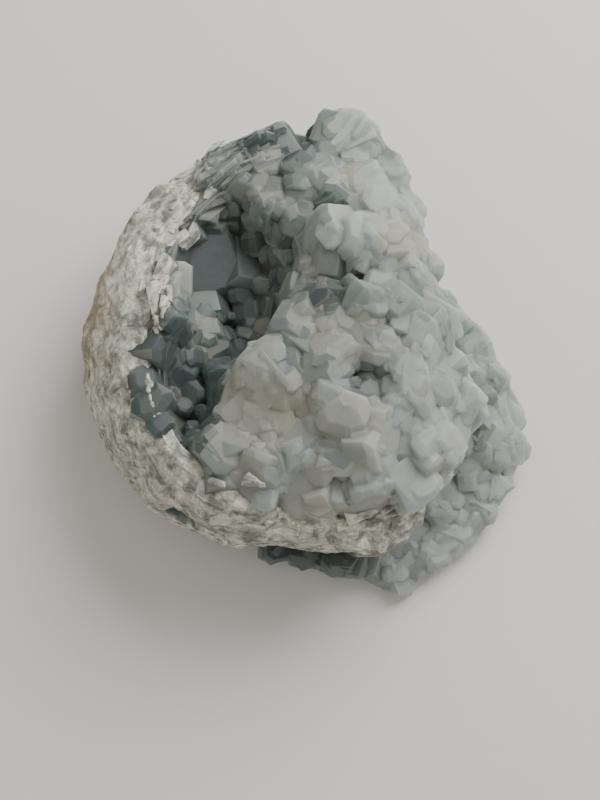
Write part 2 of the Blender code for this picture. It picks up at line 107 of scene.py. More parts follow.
# Listed crystals of the CAD crust whose faces stay free of growth: centre, reach
CLEAN_FACES = (
    ((-25.4, 19.9, 36.5), 13.0),
    ((-5.0, 51.5, 45.0), 8.5),
    ((6.5, 29.5, 54.0), 4.5),
    ((6.0, 16.0, 54.0), 6.0),
    ((-21.8, -15.6, 40.0), 4.5),
)

# Where grown crystals are smaller: place, reach, share by which they are
FINE_AREAS = (
    ((-18.0, 12.0, 38.0), 18.0, 0.22),
    ((-27.0, -17.0, 42.0), 13.0, 0.25),
    ((-9.0, 30.0, 40.0), 12.0, 0.25),
    ((4.0, -52.0, 8.0), 18.0, 0.35),
    ((48.0, -30.0, 10.0), 18.0, 0.25),
)

# Tone of each part of the druse, with painted shade in the rows noted: place, reach, clear (0 frosted to 1
# dark and clear, and in the noted rows painted shade too), cream
TONES_AND_PAINTED_SHADE = (
    # The pocket, from here to the row at (-24, -26): dark partly as clear crystal and partly as painted
    # shade that falls in the pocket
    ((-25.0, 20.0, 36.0), 13.0, 0.95, 0.00),
    ((-12.0, 22.0, 34.0), 12.0, 0.80, 0.10),
    ((-18.0, 2.0, 32.0), 10.0, 1.00, 0.10),
    ((-28.0, -14.0, 38.0), 11.0, 1.05, 0.00),
    ((-24.0, -26.0, 42.0), 9.0, 1.00, 0.05),
    ((-14.0, 34.0, 40.0), 9.0, 0.75, 0.05),
    ((-20.0, 45.0, 46.0), 9.0, 0.25, 0.25),
    ((-30.0, 37.0, 46.0), 8.0, 0.20, 0.35),
    ((-8.0, 52.0, 40.0), 10.0, 0.70, 0.00),
    ((12.0, 50.0, 44.0), 9.0, 0.18, 0.10),
    ((22.0, 46.0, 38.0), 9.0, 0.55, 0.00),
    ((24.0, 36.0, 46.0), 10.0, 0.18, 0.15),
    ((7.0, 30.0, 50.0), 9.0, 0.50, 0.05),
    ((8.0, 16.0, 54.0), 10.0, 0.40, 0.00),
    ((22.0, 20.0, 52.0), 11.0, 0.05, 0.50),
    ((0.0, 6.0, 50.0), 10.0, 0.65, 0.25),
    ((24.0, 4.0, 52.0), 10.0, 0.55, 0.05),
    ((28.0, -18.0, 56.0), 9.0, 0.25, 0.05),
    ((-14.0, -24.0, 54.0), 11.0, 0.25, 0.55),
    ((4.0, -34.0, 55.0), 11.0, 0.25, 0.30),
    ((10.0, -42.0, 48.0), 11.0, -0.20, 0.35),
    ((30.0, -34.0, 50.0), 12.0, -0.05, 0.15),
    ((30.0, -44.0, 40.0), 10.0, -0.10, 0.15),
    ((40.0, -6.0, 30.0), 14.0, 0.30, 0.00),
    ((50.0, -16.0, 16.0), 14.0, 0.20, 0.00),
    ((50.0, -32.0, 10.0), 10.0, 0.25, 0.00),
    ((30.0, -52.0, 8.0), 12.0, 0.08, 0.10),
    # Painted shade under the overhang of the front rim: the skirt is painted darker at its left than at its
    # right
    ((2.0, -52.0, 8.0), 14.0, 1.00, 0.00),
)

# Spots that stand out from the tone round them, some of them painted shade, later ones over earlier ones: as
# above
ACCENTS_AND_PAINTED_SHADE = (
    # The pocket, from here to the spot at (-10.5, 2.5): dark partly as clear crystal and partly as painted
    # shade
    ((-25.4, 19.9, 36.5), 9.5, 1.00, 0.00),
    # Painted shade: a narrow hole in the pocket, painted dark
    ((-16.2, 2.7, 30.0), 6.0, 1.50, 0.10),
    ((-30.0, -3.0, 40.0), 6.0, 1.05, 0.00),
    ((-27.0, -15.0, 42.0), 8.0, 1.05, 0.00),
    ((-27.0, -26.0, 43.0), 8.0, 1.00, 0.00),
    ((-10.5, 2.5, 38.0), 6.5, 1.20, 0.00),
    ((-12.0, 35.0, 40.0), 7.0, 0.65, 0.15),
    ((19.0, 35.5, 46.0), 7.0, -0.05, 0.25),
    ((-31.0, 12.0, 40.0), 4.5, 0.00, 0.50),
    ((-36.0, 6.0, 42.0), 6.0, -0.10, 0.60),
    ((-24.3, 3.1, 38.0), 3.5, 0.45, 0.35),
    ((-26.0, 9.5, 38.0), 4.5, 0.70, 0.05),
    ((-8.0, 53.0, 44.0), 11.0, 1.45, 0.00),
    ((5.0, 50.5, 44.0), 3.6, 0.75, 0.00),
    ((12.0, 52.5, 46.0), 5.0, -0.10, 0.25),
    ((19.5, 48.4, 40.0), 4.0, 0.70, 0.00),
    ((-9.0, 43.5, 46.0), 3.5, 0.00, 0.60),
    ((9.0, 38.0, 46.0), 3.5, 0.10, 0.50),
    ((6.5, 29.5, 54.0), 4.5, 0.90, 0.05),
    ((2.0, 24.0, 50.0), 4.0, 0.70, 0.00),
    ((5.0, 12.0, 54.0), 4.5, 0.75, 0.00),
    ((8.0, 19.0, 55.0), 5.0, -0.05, 0.05),
    ((22.3, 21.0, 52.0), 6.5, 0.00, 0.90),
    ((4.5, 5.0, 54.0), 6.5, 1.05, 0.10),
    ((-6.0, 12.0, 44.0), 6.0, 0.95, 0.10),
    ((24.0, 8.0, 54.0), 4.0, 0.60, 0.00),
    ((13.6, -14.6, 58.0), 14.0, 0.15, 0.85),
    ((25.0, -17.0, 56.0), 9.0, 0.35, 0.05),
    ((13.0, -6.0, 58.0), 7.0, 0.75, 0.50),
    ((2.0, -15.0, 56.0), 6.0, 0.50, 0.45),
    ((13.6, -16.6, 56.0), 6.5, 0.80, 0.20),
    ((4.4, -19.2, 56.0), 3.0, 0.45, 0.25),
    ((-10.3, -23.5, 54.0), 8.0, 0.40, 0.75),
    ((-4.0, -12.0, 52.0), 5.0, 0.70, 0.20),
    ((7.5, -32.9, 55.0), 4.0, 0.60, 0.20),
    ((-1.0, -31.0, 54.0), 4.0, 0.40, 0.15),
    ((14.6, -29.2, 55.0), 3.5, -0.50, 0.25),
    ((32.4, -30.1, 50.0), 8.0, -0.10, 0.15),
    ((27.0, -39.5, 46.0), 4.5, -0.25, 0.25),
    ((22.0, -35.0, 50.0), 3.5, 0.50, 0.05),
    ((43.0, -20.0, 24.0), 4.0, 0.80, 0.00),
    ((46.0, -10.0, 24.0), 3.5, 0.70, 0.00),
)

BASE_TONE = (0.45, 0.15)                # clear and cream far from every tone
BASE_WEIGHT = 0.02                      # how much the base tone counts beside the others
ACCENT_DEPTH = 0.35                     # share of a height difference that counts for an accent
CLEAR_EVENNESS = 0.8                    # how much less the tone varies where crystals are clear
PAINTED_FACING_LIGHT = 0.4                     # painted light and shade: how much darker a face that looks up, and lighter a side face, is painted, where crystals are clear
PAINTED_FACING_LEVEL = 0.75                        # upward share of a normal at which that painted light and shade is nil
FACE_ANGLE = 1.5                        # degrees between two facets that count as one crystal face
FACE_VARIETY = 0.2                      # how much the tone changes by chance from face to face
PATCH_VARIETY = 0.35                    # how much it changes in milky patches
PATCH_SIZE = 4.5
STAIN_VARIETY = 0.6                     # how much the cream stain changes over wider spots
STAIN_SIZE = 7.0
BLADE_VARIETY = 2.2                     # times that, on the thin blades of the broken edge

# Dark pits in the rind, where small crystals have broken out: place, reach, depth. They are painted dark,
# partly for the dark crystals in them and partly as painted shade in the hollows
PITS = (
    ((-18.0, -45.5, 38.0), 2.6, 2.2),
    ((-13.5, -46.5, 37.5), 2.4, 2.0),
    ((-30.2, -44.0, 33.0), 3.6, 2.2),
)

PIT_STRETCH = 1.5                       # length of a pit along the layers, of its reach
PIT_SQUEEZE = 1.3                       # how much narrower than its reach it is across them
PIT_JAG = 0.25                          # how jagged its outline is
PIT_JAG_SIZE = 2.5
PIT_COLOUR_REACH = 1.15                 # how far out its dark colour goes, partly dark crystal and partly painted shade
PIT_COLOUR_EDGE = 4.0                   # sharpness of the colour's edge

# Relief of the rind, each with its depth in shares of the wear and its size. The layers and the sheets
# have a size along the outline, one across it, and a place in the noise
LAYER_RELIEFS = ((0.25, 10.0, 1.5, 3.0), (0.6, 22.0, 3.8, 9.0))
LUMP_RELIEF = (1.1, 7.5)
GRIT_RELIEF = (0.3, 1.4)
CHIP_RELIEF = (0.5, 3.4)
WEAR_LEVEL = 0.25                       # how far wear takes the whole surface back
FLOW_RADIUS = 50.0                      # middle radius of the rind, which turns azimuth to length
FLOW_SLOPE = 0.8                        # how much the layers lean outwards
TAN_FROM = 46.0                         # distance to the left of the core's axis where the tan skin begins
TAN_FADE = 9.0                          # and over which it comes in
TAN_SIDE = 12.0                         # distance to the front over which it goes out

# Splinters of broken matrix, one unit long: width, depth, taper of the ends in degrees, lean of the top
SPLINTER_KINDS = (
    (0.34, 0.40, 50, 12),
    (0.46, 0.35, 62, -16),
    (0.28, 0.30, 40, 8),
    (0.62, 0.50, 58, 20),
)
LAYER_KINDS = (
    (0.10, 0.22, 76, 10),
    (0.14, 0.26, 80, -14),
    (0.08, 0.18, 74, 6),
    (0.17, 0.30, 82, 16),
)
END_CUTS = (0.36, 0.38)                 # distances at which a splinter's two pointed ends are cut
SIDE_CUT = 0.36                         # distance of its cut side, of its width
CHIP_REACH = 3.5                        # farthest that chips of matrix hold on beside the rind
CHIP_RISE = 1.0                         # how high they stand on the crystals
CHIP_LOW = 30.0                         # lowest height at which they lie
CHIP_SPREAD = 5.0                       # size of the groups that they lie in
RIM_WIDTH = 5.0                         # distance from the crust over which the rind's rim is broken
RIM_SHARE = 1.3                         # how broken it is right beside the crust
LOOSE_SHARE = 0.06                      # how much of the other outside has splinters

# Where more chips of matrix cover the crystals beside the rind: place, reach
CHIP_PATCHES = (
    ((-37.5, 9.0, 42.0), 6.5),
    ((-36.0, 1.5, 42.0), 4.5),
    ((-38.0, 17.0, 42.0), 4.5),
    ((-34.0, -20.0, 44.0), 3.5),
    ((-30.5, 24.5, 42.0), 3.5),
)

BAND_START = 104.0                      # azimuths between which the broken layers of the edge show
BAND_END = 152.0
BAND_INNER = 43.5                       # nearest that they come to the core's axis
BAND_LOW = 33.0                         # lowest height that they reach
TRIM_FROM = 106.0                       # azimuth from which the outline is smooth, up to the band's end
TRIM_RADIUS = 52.8                      # radius of that outline
CLIMB = 9.0                             # how far crystals of the pocket climb over the rind's inner edge
CLIMB_FROM = 189.0                      # azimuths between which they climb
CLIMB_TO = 248.0
CLIMB_RADIUS = 45.0                     # farthest from the core's axis that they climb
CLIMB_SKIN = 0.5                        # gaps of the rind this wide are closed before they do

CAMERA_TARGET = (-1.545, -12.124, 25.0)
CAMERA_HEIGHT = 75                      # degrees above the floor from which the photo looks down
CAMERA_DISTANCE = 380
LENS_LENGTH = 68.4
SENSOR_WIDTH = 36
FLOOR_REACH = 2                         # metres, as are the key light's size and places
KEY_PLACE = (0.31, 0.33, 0.51)          # at the upper right, from where the photo's light comes
KEY_TARGET = (0, 0, 0.02)
KEY_POWER = 6.4                         # watts
KEY_SIZE = 0.45                         # large, for a soft shadow
ROOM_COLOUR = (0.84, 0.82, 0.80, 1)
ROOM_STRENGTH = 0.78


class CelestiteSizes(PropertyGroup):
    filling: FloatProperty(name="Filling", description="Half the width of the gaps that growth has closed",
                           default=4.5 * MM, unit="LENGTH")
    spacing: FloatProperty(name="Spacing", description="Least distance between grown crystals",
                           default=3.1 * MM, unit="LENGTH")
    narrowest: FloatProperty(name="Narrowest", description="Width of the smallest grown crystals",
                             default=3.6 * MM, unit="LENGTH")
    widest: FloatProperty(name="Widest", description="Width of the largest grown crystals",
                          default=11.5 * MM, unit="LENGTH")
    proud: FloatProperty(name="Proud", description="Most that a grown crystal stands out, of its width",
                         default=0.06)
    tilt: FloatProperty(name="Tilt", description="Most that a grown crystal leans from the surface",
                        default=math.radians(9), subtype="ANGLE")
    seed: IntProperty(name="Seed", description="Seed of the growth", default=7)
    voxel: FloatProperty(name="Rind detail", description="Size of the rind's mesh cells",
                         default=0.62 * MM, unit="LENGTH")
    wear: FloatProperty(name="Wear", description="Depth of the rind's worn ledges and chips",
                        default=1.0 * MM, unit="LENGTH")


def linear(code):
    """Linear RGB of an sRGB hex code."""
    parts = [int(code[i:i + 2], 16) / 255 for i in (0, 2, 4)]
    return tuple(p / 12.92 if p <= 0.04045 else ((p + 0.055) / 1.055) ** 2.4 for p in parts)


def colour_property(name, code, description):
    return FloatVectorProperty(name=name, description=description, default=linear(code),
                               subtype="COLOR", min=0.0, max=1.0)


class CelestiteColours(PropertyGroup):
    frosted: colour_property("Frosted", "B4BCB5", "Etched crystal faces")
    # Also the colour of painted shade in the pocket, under the front rim and in the rind's pits
    clear: colour_property("Clear", "3E4E4C", "Clear crystal, seen deep into")
    cream: colour_property("Cream", "AFAB98", "Crystal stained by clay")
    pale_rind: colour_property("Pale rind", "DCD9C8", "Fresh matrix")
    grey_rind: colour_property("Grey rind", "7F8276", "Dull streaks of the matrix")
    tan_rind: colour_property("Tan rind", "9C8D74", "Weathered outer skin")
    floor: colour_property("Floor", "D4CFCA", "Surface that the specimen rests on")


def add(tree, kind, settings=(), **links):
    """Add a node. Settings are properties, and values of inputs by name or number. Links feed them."""
    made = tree.nodes.new(kind)
    for key, value in dict(settings).items():
        if isinstance(key, str) and hasattr(made, key):
            setattr(made, key, value)
        else:
            made.inputs[key].default_value = value
    for key, source in links.items():
        place = int(key[1:]) if key[0] == "_" and key[1:].isdigit() else key.replace("_", " ")
        tree.links.new(source, made.inputs[place])
    return made


def merged_copy(node):
    """A copy of a CAD node's mesh, whose loose triangles are joined at their corners."""
    mesh = frame["nodes"][node].data.copy()
    bm = bmesh.new()
    bm.from_mesh(mesh)
    bmesh.ops.remove_doubles(bm, verts=bm.verts, dist=JOIN_WITHIN * MM)
    bm.to_mesh(mesh)
    bm.free()
    mesh.materials.clear()
    return mesh


def tree_of(node):
    """Search tree of a CAD node. It is made from the mesh, because a replaced node is hidden."""
    mesh = frame["nodes"][node].data
    return BVHTree.FromPolygons([v.co for v in mesh.vertices], [p.vertices for p in mesh.polygons])


def evaluated(piece):
    """Replace an object's mesh by what its modifiers make, and remove them."""
    result = piece.evaluated_get(bpy.context.evaluated_depsgraph_get())
    mesh = bpy.data.meshes.new_from_object(result)
    piece.modifiers.clear()
    piece.data = mesh
    return mesh


def new_piece(name, mesh):
    piece = bpy.data.objects.new(name, mesh)
    bpy.context.scene.collection.objects.link(piece)
    return piece


def trim(bm, normal, distance):
    """Cut off what lies past a plane and close the cut with a face."""
    normal = Vector(normal).normalized()
    geometry = list(bm.verts) + list(bm.edges) + list(bm.faces)
    cut = bmesh.ops.bisect_plane(bm, geom=geometry, dist=1e-6, plane_co=normal * distance,
                                 plane_no=normal, clear_outer=True)
    edges = [item for item in cut["geom_cut"] if isinstance(item, bmesh.types.BMEdge)]
    if len(edges) > 2:
        bmesh.ops.contextual_create(bm, geom=edges)


def crystal_mesh(depth, flat_width, flat_depth, across, along, corner, skew):
    """A tabular crystal one unit wide with a bevelled tip, its tip at the origin and its root below."""
    bm = bmesh.new()
    bmesh.ops.create_cube(bm, size=1.0)
    bmesh.ops.scale(bm, vec=(1.0, depth, CRYSTAL_HEIGHT), verts=bm.verts)
    bmesh.ops.translate(bm, vec=(0, 0, -CRYSTAL_HEIGHT / 2), verts=bm.verts)
    reach = math.hypot(0.5, depth / 2)
    for side in (1, -1):
        slope = math.radians(across + SKEW_SLOPES[0] * skew * side)
        trim(bm, (side * math.sin(slope), 0.15 * skew, math.cos(slope)), flat_width / 2 * math.sin(slope))
        slope = math.radians(along - SKEW_SLOPES[1] * skew * side)
        trim(bm, (0.2 * skew, side * math.sin(slope), math.cos(slope)),
             flat_depth * depth / 2 * math.sin(slope))
        for other_side in (1, -1):
            slope = math.radians(corner + SKEW_SLOPES[2] * skew * other_side)
            trim(bm, (side * math.sin(slope), other_side * math.sin(slope), 1.4 * math.cos(slope)),
                 CORNER_CUT * reach * math.sin(slope))
            trim(bm, (side * (1 + 0.5 * skew), other_side, 0.15),
                 (EDGE_CUT + EDGE_SKEW * skew * side) * reach)
    bmesh.ops.recalc_face_normals(bm, faces=bm.faces)
    mesh = bpy.data.meshes.new("crystal kind")
    bm.to_mesh(mesh)
    bm.free()
    return mesh


def splinter_mesh(width, depth, taper, lean):
    """A splinter of matrix one unit long, its upper side at the origin."""
    bm = bmesh.new()
    bmesh.ops.create_cube(bm, size=1.0)
    bmesh.ops.scale(bm, vec=(1.0, width, depth), verts=bm.verts)
    bmesh.ops.translate(bm, vec=(0, 0, -depth / 2), verts=bm.verts)
    lean = math.radians(lean)
    taper = math.radians(taper)
    trim(bm, (0, math.sin(lean), math.cos(lean)), 0.0)
    trim(bm, (math.sin(taper), math.cos(taper), 0.2), END_CUTS[0])
    trim(bm, (-math.sin(taper), 0.8 * math.cos(taper), 0.3), END_CUTS[1])
    trim(bm, (0.2, -math.sin(taper), 0.7 * math.cos(taper)), SIDE_CUT * width)
    bmesh.ops.recalc_face_normals(bm, faces=bm.faces)
    mesh = bpy.data.meshes.new("splinter kind")
    bm.to_mesh(mesh)
    bm.free()
    return mesh


def new_kinds(meshes):
    """A collection that Geometry Nodes pick their instances from."""
    kinds = bpy.data.collections.new("kinds")
    for mesh in meshes:
        kinds.objects.link(bpy.data.objects.new("kind", mesh))
    return kinds


def drop_kinds(kinds):
    for kind in list(kinds.objects):
        bpy.data.objects.remove(kind)
    bpy.data.collections.remove(kinds)


def growth_tree(aligned=False):
    """Geometry Nodes that grow crystals on a skin, where its attribute "bare" lets them, and fuse
    them with the piece that has the modifier. They are smaller by the skin's attribute "fine", and
    aligned ones lie along its attribute "along"."""
    tree = bpy.data.node_groups.new("Crystal growth", "GeometryNodeTree")
    face = tree.interface
    face.new_socket("Geometry", in_out="INPUT", socket_type="NodeSocketGeometry")
    for name in ("Spacing", "Density", "Narrowest", "Widest", "Proud", "Tilt"):
        face.new_socket(name, in_out="INPUT", socket_type="NodeSocketFloat")
    face.new_socket("Seed", in_out="INPUT", socket_type="NodeSocketInt")
    face.new_socket("Skin", in_out="INPUT", socket_type="NodeSocketObject")
    face.new_socket("Kinds", in_out="INPUT", socket_type="NodeSocketCollection")
    face.new_socket("Material", in_out="INPUT", socket_type="NodeSocketMaterial")
    face.new_socket("Geometry", in_out="OUTPUT", socket_type="NodeSocketGeometry")
    given = add(tree, "NodeGroupInput").outputs
    skin = add(tree, "GeometryNodeObjectInfo", Object=given["Skin"])
    bare = add(tree, "GeometryNodeInputNamedAttribute", {"data_type": "FLOAT", "Name": "bare"})
    spots = add(tree, "GeometryNodeDistributePointsOnFaces", {"distribute_method": "POISSON"},
                Mesh=skin.outputs["Geometry"], Distance_Min=given["Spacing"], Density_Max=given["Density"],
                Density_Factor=bare.outputs["Attribute"], Seed=given["Seed"])
    seeds = [add(tree, "FunctionNodeIntegerMath", {1: step}, _0=given["Seed"]).outputs[0]
             for step in (1, 2, 3)]
    share = add(tree, "FunctionNodeRandomValue", {"data_type": "FLOAT"}, Seed=seeds[0])
    skewed = add(tree, "ShaderNodeMath", {"operation": "POWER", 1: SMALL_BIAS}, _0=share.outputs[1])
    fullest = add(tree, "ShaderNodeMapRange", {}, Value=skewed.outputs[0],
                  To_Min=given["Narrowest"], To_Max=given["Widest"])
    fine = add(tree, "GeometryNodeInputNamedAttribute", {"data_type": "FLOAT", "Name": "fine"})
    share_left = add(tree, "ShaderNodeMath", {"operation": "SUBTRACT", 0: 1.0}, _1=fine.outputs["Attribute"])
    width = add(tree, "ShaderNodeMath", {"operation": "MULTIPLY"}, _0=fullest.outputs[0],
                _1=share_left.outputs[0])
    lift = add(tree, "FunctionNodeRandomValue", {"data_type": "FLOAT", 2: 0.0}, Seed=seeds[1])
    proud = add(tree, "ShaderNodeMath", {"operation": "MULTIPLY"}, _0=lift.outputs[1], _1=given["Proud"])
    rise = add(tree, "ShaderNodeMath", {"operation": "MULTIPLY"}, _0=proud.outputs[0], _1=width.outputs[0])
    offset = add(tree, "ShaderNodeVectorMath", {"operation": "SCALE"},
                 Vector=spots.outputs["Normal"], Scale=rise.outputs[0])
    moved = add(tree, "GeometryNodeSetPosition", {}, Geometry=spots.outputs["Points"],
                Offset=offset.outputs[0])
    most = Vector((1, 1, 1 if aligned else FREE_TURN))
    lean = add(tree, "FunctionNodeRandomValue", {"data_type": "FLOAT_VECTOR", 0: -most, 1: most},
               Seed=seeds[2])
    angles = add(tree, "ShaderNodeVectorMath", {"operation": "SCALE"}, Vector=lean.outputs[0],
                 Scale=given["Tilt"])
    turn = add(tree, "FunctionNodeEulerToRotation", {}, Euler=angles.outputs[0])
    facing = spots.outputs["Rotation"]
    if aligned:
        along = add(tree, "GeometryNodeInputNamedAttribute", {"data_type": "FLOAT_VECTOR", "Name": "along"})
        facing = add(tree, "FunctionNodeAlignRotationToVector", {"axis": "X", "pivot_axis": "Z"},
                     Rotation=facing, Vector=along.outputs["Attribute"]).outputs[0]
    rotation = add(tree, "FunctionNodeRotateRotation", {"rotation_space": "LOCAL"},
                   Rotation=facing, Rotate_By=turn.outputs[0])
    kinds = add(tree, "GeometryNodeCollectionInfo", {"Separate Children": True, "Reset Children": True},
                Collection=given["Kinds"])
    grown = add(tree, "GeometryNodeInstanceOnPoints", {"Pick Instance": True},
                Points=moved.outputs[0], Instance=kinds.outputs[0],
                Rotation=rotation.outputs[0], Scale=width.outputs[0])
    fused = add(tree, "GeometryNodeMeshBoolean", {"operation": "UNION", "solver": "MANIFOLD"})
    tree.links.new(given["Geometry"], fused.inputs["Mesh 2"])
    tree.links.new(grown.outputs[0], fused.inputs["Mesh 2"])
    block = add(tree, "GeometryNodeMeshCube", {"Size": (1.0, 1.0, 0.2)})
    ground = add(tree, "GeometryNodeSetPosition", {"Offset": (0.0, 0.0, -0.1)},
                 Geometry=block.outputs["Mesh"])
    cut = add(tree, "GeometryNodeMeshBoolean", {"operation": "DIFFERENCE", "solver": "MANIFOLD"},
              Mesh_1=fused.outputs["Mesh"], Mesh_2=ground.outputs[0])
    real = add(tree, "GeometryNodeRealizeInstances", {}, Geometry=cut.outputs["Mesh"])
    dressed = add(tree, "GeometryNodeSetMaterial", {}, Geometry=real.outputs[0], Material=given["Material"])
    add(tree, "NodeGroupOutput", {}, Geometry=dressed.outputs[0])
    return tree


def grow(piece, tree, values):
    """Grow crystals on a piece and keep the result as its plain mesh."""
    modifier = piece.modifiers.new("Growth", "NODES")
    modifier.node_group = tree
    for item in tree.interface.items_tree:
        if item.item_type == "SOCKET" and item.in_out == "INPUT" and item.name in values:
            modifier[item.identifier] = values[item.name]
    return evaluated(piece)


def filled_skin(mesh, reach, rise=0.0):
    """A smooth skin over a mesh, which bridges the gaps between its crystals and stands on them."""
    skin = new_piece("skin", mesh.copy())
    for swelling in (reach, -reach, rise):
        remesh = skin.modifiers.new("Remesh", "REMESH")
        remesh.mode = "VOXEL"
        remesh.voxel_size = SKIN_CELL * MM
        swell = skin.modifiers.new("Swell", "DISPLACE")
        swell.mid_level = 0.0
        swell.strength = swelling
    evaluated(skin)
    return skin


def round_axis(place):
    """Arm from the core's axis to a place, with its level length and its azimuth in degrees."""
    arm = place - CORE_AXIS
    return arm, math.hypot(arm.x, arm.y), math.degrees(math.atan2(arm.y, arm.x)) % 360


def band_share(place):
    """Whether a place is on the edge of broken layers, which goes from the rind to the left peak."""
    arm, radius, azimuth = round_axis(place)
    return float(BAND_START < azimuth < BAND_END and radius > BAND_INNER and place.z > BAND_LOW)


def along_at(place):
    """Level direction along the outline of the piece."""
    arm = place - CORE_AXIS
    return Vector((-arm.y, arm.x, 0)).normalized()


def bare_share(centre, normal, rind):
    """How freely crystals grow on the skin: not behind the rind, on the base or on a clean face."""
    if centre.z < BASE_MARGIN * MM:
        return 0.0
    if rind.ray_cast(centre + normal * 0.05 * MM, normal, HIDDEN_REACH * MM)[0] is not None:
        return 0.0
    if band_share(centre / MM) > 0.5:
        return 0.0
    for place, reach in CLEAN_FACES:
        if (centre / MM - Vector(place)).length < reach:
            return 0.0
    for place, reach in CHIP_PATCHES:
        if (centre / MM - Vector(place)).xy.length < reach:
            return 0.0
    return 1.0


def fine_share(place):
    """Share by which crystals grown at a place are smaller."""
    return max(share * math.exp(-((place - Vector(centre)).length / reach) ** 4)
               for centre, reach, share in FINE_AREAS)


def share_of(value):
    """A value, held between 0 and 1."""
    return min(1.0, max(0.0, value))


def set_attribute(mesh, name, values, domain):
    attribute = mesh.attributes.get(name) or mesh.attributes.new(name, "FLOAT", domain)
    attribute.data.foreach_set("value", values)


def facets_of(mesh, angle):
    """Groups of connected faces that lie in one plane, as lists of face numbers."""
    bm = bmesh.new()
    bm.from_mesh(mesh)
    bm.faces.ensure_lookup_table()
    least = math.cos(angle)
    done = [False] * len(bm.faces)
    groups = []
    for start in bm.faces:
        if done[start.index]:
            continue
        done[start.index] = True
        waiting = [start]
        group = []
        while waiting:
            face = waiting.pop()
            group.append(face.index)
            for edge in face.edges:
                for other in edge.link_faces:
                    if not done[other.index] and start.normal.dot(other.normal) > least:
                        done[other.index] = True
                        waiting.append(other)
        groups.append(group)
    bm.free()
    return groups


def tone_at(place):
    """Clear and cream shares of the druse at a place, blended from the nearest tones; the clear share also
    carries painted shade.
    """
    total = BASE_WEIGHT
    clear = BASE_TONE[0] * total
    cream = BASE_TONE[1] * total
    for centre, reach, clear_and_shade_here, cream_here in TONES_AND_PAINTED_SHADE:
        distance = (place - Vector(centre)).length / reach
        weight = math.exp(-distance * distance)
        total += weight
        clear += weight * clear_and_shade_here
        cream += weight * cream_here
    clear /= total
    cream /= total
    for centre, reach, clear_and_shade_here, cream_here in ACCENTS_AND_PAINTED_SHADE:
        offset = place - Vector(centre)
        offset.z *= ACCENT_DEPTH
        weight = math.exp(-(offset.length / reach) ** 4)
        clear += weight * (clear_and_shade_here - clear)
        cream += weight * (cream_here - cream)
    return clear, cream


def tone_facets(mesh, spread=1.0):
    """Give each crystal face its own tone, as each one shows another depth of crystal, and paint faces that
    look up darker and side faces lighter, as painted light and shade.
    """
    clear = [0.0] * len(mesh.polygons)
    cream = [0.0] * len(mesh.polygons)
    for group in facets_of(mesh, math.radians(FACE_ANGLE)):
        area = sum(mesh.polygons[i].area for i in group) + 1e-12
        centre = sum((mesh.polygons[i].center * mesh.polygons[i].area for i in group), Vector()) / area
        place = centre / MM
        normal = mesh.polygons[group[0]].normal
        chance = noise.cell(place * 0.35 + normal * 4.0)
        other_chance = noise.cell(place * 0.3 - normal * 5.0 + Vector((40, 0, 0)))
        patch = PATCH_VARIETY * noise.noise(place / PATCH_SIZE)
        stain = STAIN_VARIETY * noise.noise(place / STAIN_SIZE + Vector((30, 0, 0)))
        base_clear_and_shade, base_cream = tone_at(place)
        # Painted light and shade: faces that look up, in the most light, are painted clearer and darker, and
        # side faces, in shade, frostier and lighter
        base_clear_and_shade += PAINTED_FACING_LIGHT * (normal.z - PAINTED_FACING_LEVEL) * max(0.0, base_clear_and_shade)
        vary = 1.0 - CLEAR_EVENNESS * share_of(base_clear_and_shade)
        change = FACE_VARIETY * spread
        for i in group:
            clear[i] = share_of(base_clear_and_shade + vary * (change * (chance - 0.5) + patch))
            cream[i] = share_of(base_cream + change * (other_chance - 0.5) + stain)
    # The clear attribute also carries the painted light and shade set above
    set_attribute(mesh, "clear", clear, "FACE")
    set_attribute(mesh, "cream", cream, "FACE")


def blank_material(name):
    material = bpy.data.materials.new(name)
    material.use_nodes = True
    material.node_tree.nodes.clear()
    return material, material.node_tree


